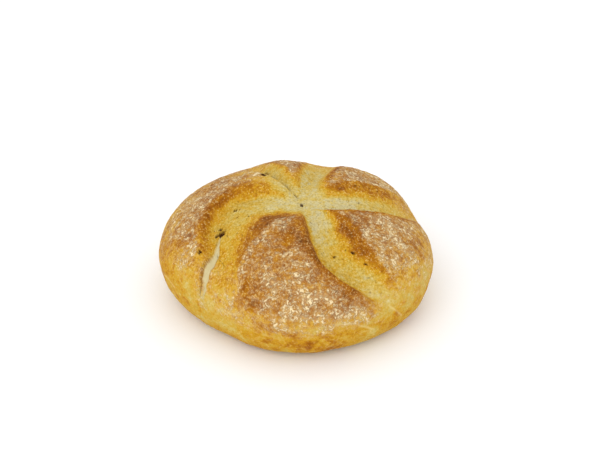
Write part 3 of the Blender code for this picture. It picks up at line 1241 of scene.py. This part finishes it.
def linear(red: int, green: int, blue: int) -> tuple[float, float, float, float]:
    """Turn an sRGB colour in 0 to 255 into the linear one that shaders take."""
    share = np.array([red, green, blue]) / 255.0
    low = share / 12.92
    high = ((share + 0.055) / 1.055) ** 2.4
    return tuple(float(v) for v in np.where(share <= 0.04045, low, high)) + (1.0,)


@dataclass(frozen=True)
class Cloud:
    """Cloudy noise: its lumps' size in metres, its finer layers, their roughness and its twist.

    strength is how strongly it shows on the lobes, and in_arm and low are what is added to that
    in the arms and on the low sides.
    """

    size: float
    detail: float = 2.0
    rough: float = 0.5
    twist: float = 0.0
    strength: float = 0.0
    in_arm: float = 0.0
    low: float = 0.0


class NodeSheet:
    """A material's nodes, added from left to right."""

    def __init__(self, name: str) -> None:
        """Start a material with its surface shader."""
        self.material = bpy.data.materials.new(name)
        self.material.use_nodes = True
        self.nodes = self.material.node_tree.nodes
        self.links = self.material.node_tree.links
        self.shader = self.nodes["Principled BSDF"]
        self.coordinates = self.nodes.new("ShaderNodeTexCoord").outputs["Object"]

    def join(self, value: object, socket: bpy.types.NodeSocket) -> None:
        """Link a node's output to a socket, or set the socket to a plain value."""
        if isinstance(value, bpy.types.NodeSocket):
            self.links.new(value, socket)
        else:
            socket.default_value = value

    def coat(self, coat: Coat, output: str = "Fac") -> bpy.types.NodeSocket:
        """Read what is stored at the mesh's points, as a number or as a Vector."""
        node = self.nodes.new("ShaderNodeAttribute")
        node.attribute_name = coat.value
        return node.outputs[output]

    def noise(self, cloud: Cloud, at: object = None) -> bpy.types.NodeSocket:
        """Cloudy noise, read at the object's own points or at the place given."""
        node = self.nodes.new("ShaderNodeTexNoise")
        self.links.new(at or self.coordinates, node.inputs["Vector"])
        node.inputs["Scale"].default_value = 1.0 / cloud.size
        node.inputs["Detail"].default_value = cloud.detail
        node.inputs["Roughness"].default_value = cloud.rough
        node.inputs["Distortion"].default_value = cloud.twist
        return node.outputs["Fac"]

    def math(
        self, kind: str, first: object, second: object = 0.0, third: object = 0.0
    ) -> bpy.types.NodeSocket:
        """Work out one sum, such as MULTIPLY_ADD, from sockets or plain numbers."""
        node = self.nodes.new("ShaderNodeMath")
        node.operation = kind
        for value, socket in zip((first, second, third), node.inputs):
            self.join(value, socket)
        return node.outputs["Value"]

    def climb(
        self, value: object, low: object, high: object, start: object = 0.0, end: object = 1.0
    ) -> bpy.types.NodeSocket:
        """Map a value from low..high to start..end along an eased curve."""
        node = self.nodes.new("ShaderNodeMapRange")
        node.interpolation_type = "SMOOTHSTEP"
        names = ("Value", "From Min", "From Max", "To Min", "To Max")
        for name, given in zip(names, (value, low, high, start, end)):
            self.join(given, node.inputs[name])
        return node.outputs["Result"]

    def ramp(self, value: object, stops: tuple[tuple[float, tuple[float, ...]], ...]) -> bpy.types.NodeSocket:
        """Read a row of colours by a value from 0 to 1."""
        node = self.nodes.new("ShaderNodeValToRGB")
        self.join(value, node.inputs["Fac"])
        elements = node.color_ramp.elements
        while len(elements) < len(stops):
            elements.new(0.5)
        for element, (place, colour) in zip(elements, stops):
            element.position = place
            element.color = colour
        return node.outputs["Color"]

    def mix(self, share: object, first: object, second: object) -> bpy.types.NodeSocket:
        """Mix two colours by a share."""
        node = self.nodes.new("ShaderNodeMix")
        node.data_type = "RGBA"
        self.join(share, node.inputs["Factor"])
        self.join(first, node.inputs[6])
        self.join(second, node.inputs[7])
        return node.outputs[2]

    def bump(self, height: object, distance: float) -> bpy.types.NodeSocket:
        """Raise the shading by a height, in shares of a distance in metres."""
        node = self.nodes.new("ShaderNodeBump")
        node.inputs["Distance"].default_value = distance
        self.join(height, node.inputs["Height"])
        return node.outputs["Normal"]


class CrustSheet(NodeSheet):
    """The crust's nodes, which know where its arms and its low sides are."""

    def __init__(self) -> None:
        """Start the material and read both from the crust's points."""
        super().__init__("crust")
        self.in_arm = self.coat(Coat.ARM)
        self.low = self.coat(Coat.SIDE)

    def strength(self, cloud: Cloud) -> bpy.types.NodeSocket:
        """How strongly a cloud shows at each point."""
        upper = self.math("MULTIPLY_ADD", self.in_arm, cloud.in_arm, cloud.strength)
        return self.math("MULTIPLY_ADD", self.low, cloud.low, upper)

    def shift(self, cloud: Cloud, bake: object, at: object = None) -> bpy.types.NodeSocket:
        """Shift the bake up and down by a cloud."""
        swing = self.math("SUBTRACT", self.noise(cloud, at), 0.5)
        return self.math("MULTIPLY_ADD", swing, self.strength(cloud), bake)


@dataclass(frozen=True)
class CrustFinish:
    """Baked crust: from pale stretched dough through gold to brown, under a dusting of flour.

    The colours are sRGB in 0 to 255, and stops are the bakes of the first seven. A pair of
    numbers is the range of noise over which a mark climbs from nothing to whole.
    """

    pale: tuple[int, int, int] = (194, 182, 134)
    straw: tuple[int, int, int] = (196, 172, 92)
    yellow: tuple[int, int, int] = (194, 158, 56)
    gold: tuple[int, int, int] = (194, 144, 26)
    golden_brown: tuple[int, int, int] = (168, 108, 8)
    brown: tuple[int, int, int] = (142, 80, 4)
    dark: tuple[int, int, int] = (98, 50, 2)
    stops: tuple[float, ...] = (0.0, 0.15, 0.30, 0.46, 0.64, 0.80, 1.0)
    flour: tuple[int, int, int] = (234, 212, 166)
    speck: tuple[int, int, int] = (118, 88, 30)
    glint: tuple[int, int, int] = (232, 214, 150)
    inner: tuple[int, int, int] = (200, 187, 142)
    # The colour of the shade painted in holes, pores, cracks and creases.
    painted_hole_shade: tuple[int, int, int] = (66, 32, 6)
    mottle: Cloud = Cloud(3.6 * MM, 4.0, 0.80, strength=0.80)
    fibre: Cloud = Cloud(1.0, 3.0, 0.75, in_arm=0.45)
    grain: Cloud = Cloud(1.6 * MM, 3.0, 0.80, strength=0.50, in_arm=-0.22, low=-0.30)
    blotch: Cloud = Cloud(8.0 * MM, 3.0, 0.70, 0.6, strength=0.20, low=0.75)
    specks: Cloud = Cloud(0.8 * MM, 2.0, 0.80, strength=1.0, low=-0.45)
    holes: Cloud = Cloud(1.7 * MM, 2.0, 0.60, 0.5, in_arm=0.65)
    stretch: Cloud = Cloud(13.0 * MM, 2.0, 0.50, 1.6, low=0.16)
    dust: Cloud = Cloud(1.5 * MM, 3.0, 0.85, 0.7)
    clumps: Cloud = Cloud(5.0 * MM, 3.0, 0.70)
    speck_range: tuple[float, float] = (0.52, 0.68)
    speck_cover: float = 0.46
    glint_range: tuple[float, float] = (0.46, 0.34)
    glint_cover: float = 0.34
    hole_range: tuple[float, float] = (0.66, 0.74)
    stretch_range: tuple[float, float] = (0.016, 0.002)
    fold_cover: float = 0.40
    dust_range: tuple[float, float] = (0.49, 0.60)
    dust_cover: tuple[float, float] = (0.16, 1.26)
    clump_range: tuple[float, float] = (0.40, 0.62)
    clump_cover: tuple[float, float] = (0.35, 1.55)
    most_cover: float = 0.95
    rough: float = 0.68
    flour_rough: float = 0.2
    shine: float = 0.08
    relief: float = 0.5 * MM
    flour_relief: float = 0.5

    def skin(self, sheet: CrustSheet) -> bpy.types.NodeSocket:
        """Colour the skin by its bake, which clouds and the arms' strands shift."""
        bake = sheet.shift(self.mottle, sheet.coat(Coat.BAKE))
        bake = sheet.shift(self.fibre, bake, at=sheet.coat(Coat.STRAND, "Vector"))
        bake = sheet.shift(self.grain, bake)
        bake = sheet.shift(self.blotch, bake)
        colours = (self.pale, self.straw, self.yellow, self.gold, self.golden_brown, self.brown, self.dark)
        return sheet.ramp(bake, tuple((stop, linear(*colour)) for stop, colour in zip(self.stops, colours)))

    def marks(self, sheet: CrustSheet, skin: bpy.types.NodeSocket) -> bpy.types.NodeSocket:
        """Mark the skin with dark specks and pale glints, shade painted dark in holes in the arms and pale
        folds.

        A faint fold lies where a wide cloud is close to its middle, and a plain one where it is
        stored on the crust.

        Args:
            sheet: the crust's nodes.
            skin: the skin's colour.

        Returns:
            The marked colour.
        """
        noise = sheet.noise(self.specks)
        strength = sheet.strength(self.specks)
        specks = sheet.math("MULTIPLY", sheet.climb(noise, *self.speck_range), self.speck_cover)
        skin = sheet.mix(sheet.math("MULTIPLY", specks, strength), skin, linear(*self.speck))
        glints = sheet.math("MULTIPLY", sheet.climb(noise, *self.glint_range), self.glint_cover)
        skin = sheet.mix(sheet.math("MULTIPLY", glints, strength), skin, linear(*self.glint))
        # Painted shade: small holes in the arms are painted dark, without relief.
        holes = sheet.climb(sheet.noise(self.holes), *self.hole_range)
        skin = sheet.mix(sheet.math("MULTIPLY", holes, sheet.strength(self.holes)), skin, linear(*self.painted_hole_shade))
        faint = sheet.math("ABSOLUTE", sheet.math("SUBTRACT", sheet.noise(self.stretch), 0.5))
        faint = sheet.math("MULTIPLY", sheet.climb(faint, *self.stretch_range), sheet.strength(self.stretch))
        plain = sheet.math("MULTIPLY", sheet.coat(Coat.FOLD), self.fold_cover)
        return sheet.mix(sheet.math("MAXIMUM", faint, plain), skin, linear(*self.glint))

    def flour_cover(self, sheet: CrustSheet) -> bpy.types.NodeSocket:
        """How much of the crust the flour hides: grains of it, thicker in clumps."""
        least, most = self.dust_cover
        grains = sheet.climb(sheet.noise(self.dust), *self.dust_range)
        dust = sheet.math("MULTIPLY_ADD", grains, most - least, least)
        clumps = sheet.climb(sheet.noise(self.clumps), *self.clump_range, *self.clump_cover)
        dust = sheet.math("MULTIPLY", dust, clumps)
        return sheet.math("MINIMUM", sheet.math("MULTIPLY", dust, sheet.coat(Coat.FLOUR)), self.most_cover)

    def make(self) -> bpy.types.Material:
        """Build the crust's material from its coats.

        Returns:
            The material.
        """
        sheet = CrustSheet()
        cover = self.flour_cover(sheet)
        colour = sheet.mix(cover, self.marks(sheet, self.skin(sheet)), linear(*self.flour))
        colour = sheet.mix(sheet.coat(Coat.TORN), colour, linear(*self.inner))
        # Painted shade in the holes, pores, cracks and creases.
        colour = sheet.mix(sheet.coat(Coat.PAINTED_SHADE), colour, linear(*self.painted_hole_shade))
        roughness = sheet.math("MULTIPLY_ADD", cover, self.flour_rough, self.rough)
        raised = sheet.math("MULTIPLY_ADD", cover, self.flour_relief, sheet.noise(self.mottle))
        sheet.join(colour, sheet.shader.inputs["Base Color"])
        sheet.join(roughness, sheet.shader.inputs["Roughness"])
        sheet.join(self.shine, sheet.shader.inputs["Specular IOR Level"])
        sheet.join(sheet.bump(raised, self.relief), sheet.shader.inputs["Normal"])
        return sheet.material


@dataclass
class Studio:
    """A plain pale floor, even light from all round, and a lamp and a camera in front.

    The camera looks past its target by the two small aim offsets. The soft lamp hangs above and
    a little to the left, lamp_from away from the middle of the roll.
    """

    camera_target: tuple[float, float, float] = (0.4 * MM, 0.4 * MM, 20.5 * MM)
    camera_rise: float = 33.0 * DEG
    camera_distance: float = 0.545
    lens: float = 85.0
    nearest_seen: float = 0.01
    aim_right: float = 1.3 * MM
    aim_up: float = 7.3 * MM
    floor_half: float = 3.0
    floor_shade: float = 0.92
    floor_rough: float = 0.9
    floor_shine: float = 0.1
    room_light: float = 1.12
    lamp_from: tuple[float, float, float] = (-0.3, -0.8, 0.6)
    lamp_size: float = 0.9
    lamp_power: float = 3.0

    def floor(self, height: float) -> bpy.types.Object:
        """Lay the floor at a height."""
        half = self.floor_half
        corners = np.array([[-half, -half], [half, -half], [half, half], [-half, half]])
        points = np.column_stack([corners, np.full(4, height)])
        floor = bpy.data.objects.new("floor", mesh_from_arrays("floor", points, [np.array([[0, 1, 2, 3]])]))
        bpy.context.scene.collection.objects.link(floor)
        sheet = NodeSheet("floor")
        grey = (self.floor_shade, self.floor_shade, self.floor_shade, 1.0)
        sheet.join(grey, sheet.shader.inputs["Base Color"])
        sheet.join(self.floor_rough, sheet.shader.inputs["Roughness"])
        sheet.join(self.floor_shine, sheet.shader.inputs["Specular IOR Level"])
        floor.data.materials.append(sheet.material)
        return floor

    def camera(self) -> bpy.types.Object:
        """Set the camera up in front of its target, looking down at it.

        Returns:
            The camera.
        """
        target = Vector(self.camera_target)
        back = Vector((0.0, -math.cos(self.camera_rise), math.sin(self.camera_rise)))
        up = Vector((0.0, math.sin(self.camera_rise), math.cos(self.camera_rise)))
        right = Vector((1.0, 0.0, 0.0))
        data = bpy.data.cameras.new("camera")
        data.lens = self.lens
        data.clip_start = self.nearest_seen
        camera = bpy.data.objects.new("camera", data)
        camera.location = target + back * self.camera_distance
        aim = target + right * self.aim_right + up * self.aim_up
        camera.rotation_euler = (aim - camera.location).to_track_quat("-Z", "Y").to_euler()
        bpy.context.scene.collection.objects.link(camera)
        bpy.context.scene.camera = camera
        return camera

    def lamp(self, target: Vector) -> None:
        """Hang the square lamp, facing a target."""
        data = bpy.data.lights.new("key", "AREA")
        data.size = self.lamp_size
        data.energy = self.lamp_power
        lamp = bpy.data.objects.new("key", data)
        lamp.location = target + Vector(self.lamp_from)
        lamp.rotation_euler = (target - lamp.location).to_track_quat("-Z", "Y").to_euler()
        bpy.context.scene.collection.objects.link(lamp)

    def surround(self) -> None:
        """Light the room evenly from all round."""
        world = bpy.data.worlds.new("surround")
        world.use_nodes = True
        shade = world.node_tree.nodes["Background"]
        shade.inputs["Color"].default_value = (1.0, 1.0, 1.0, 1.0)
        shade.inputs["Strength"].default_value = self.room_light
        bpy.context.scene.world = world


def main() -> None:
    """Build the roll and its studio, and tell the frame what each piece is."""
    logging.basicConfig(level=logging.INFO, format="%(name)s: %(message)s")
    bpy.context.scene.view_settings.view_transform = "Standard"
    lowest, highest = (Vector(corner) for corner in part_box(NODE))
    studio = Studio()
    studio.camera()
    studio.floor(lowest.z)
    studio.surround()
    studio.lamp((lowest + highest) / 2.0)
    crust = Crust().build()
    crust.data.materials.append(CrustFinish().make())
    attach(crust, "root")
    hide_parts(NODE)
    mesh = crust.data
    triangles = len(mesh.loops) - 2 * len(mesh.polygons)
    log.info("%s: %d points, %d triangles", crust.name, len(mesh.vertices), triangles)


if __name__ == "__main__":
    main()
